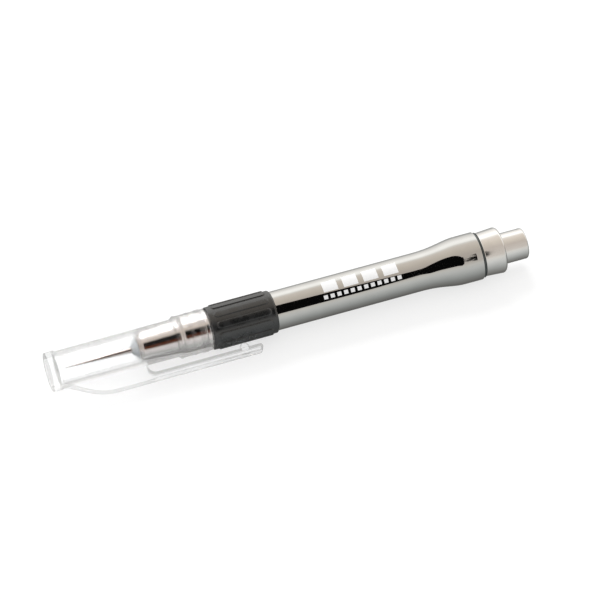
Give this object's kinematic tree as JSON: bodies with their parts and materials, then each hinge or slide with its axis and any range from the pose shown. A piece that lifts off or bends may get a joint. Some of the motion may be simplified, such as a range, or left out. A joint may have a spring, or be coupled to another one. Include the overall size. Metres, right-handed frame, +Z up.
{
  "type": "needle pen",
  "caption": "Slim pen-shaped holder for a fine steel needle, with a ribbed rubber grip, a flared dark chrome barrel, a push-button clutch and a clear pull-off cap with a pocket clip.",
  "frame": {"origin": "middle of the underside of the capped pen's box, as the pen lies level on its side with its flare on the surface", "axes": "+X along the pen from the closed end of the cap to the push button, +Z up, -Y the side that the pocket clip is on"},
  "size_m": [0.139, 0.0168, 0.0137],
  "materials": {
    "clear_plastic": "clear polished polycarbonate",
    "needle_steel": "ground and polished stainless needle steel",
    "satin_alloy": "satin turned alloy",
    "bright_chrome": "bright polished chrome plate",
    "black_chrome": "dark gunmetal chrome plate",
    "black_rubber": "matte black moulded rubber",
    "seal_rubber": "dark moulded rubber ring",
    "brass": "turned brass",
    "hard_steel": "hardened turned steel",
    "tube_steel": "drawn steel tube",
    "core_alloy": "turned alloy, not polished",
    "spring_wire": "bright spring wire",
    "bush_plastic": "natural acetal plastic"
  },
  "bodies": {
    "barrel": {"nose_tip": "satin_alloy", "nose_sleeve": "bright_chrome", "closing_ring": "hard_steel", "grip_core": "core_alloy", "grip_sleeve": "black_rubber", "front_guide": "bush_plastic", "spring_washer": "hard_steel", "barrel_tube": "black_chrome", "joint_ring": "seal_rubber", "end_collar": "bright_chrome", "rear_guide": "bush_plastic"},
    "plunger": {"push_button": "bright_chrome", "draw_tube": "tube_steel", "spring_collar": "brass", "retaining_clip": "hard_steel", "collet_lock_nut": "brass", "collet": "brass", "return_spring": "spring_wire"},
    "needle": {"needle": "needle_steel"},
    "cap": {"cap": "clear_plastic"}
  },
  "joints": [
    {"name": "cap_pull", "type": "slide", "parent": "barrel", "child": "cap", "axis": [-1, 0, 0], "range_m": [0, 0.048]},
    {"name": "button_press", "type": "slide", "parent": "barrel", "child": "plunger", "axis": [-1, 0, 0], "range_m": [0, 0.0018], "stiffness_N_per_m": 2500, "deforming": ["return_spring"]},
    {"name": "needle_depth", "type": "slide", "parent": "plunger", "child": "needle", "axis": [1, 0, 0], "range_m": [0, 0.018]}
  ]
}
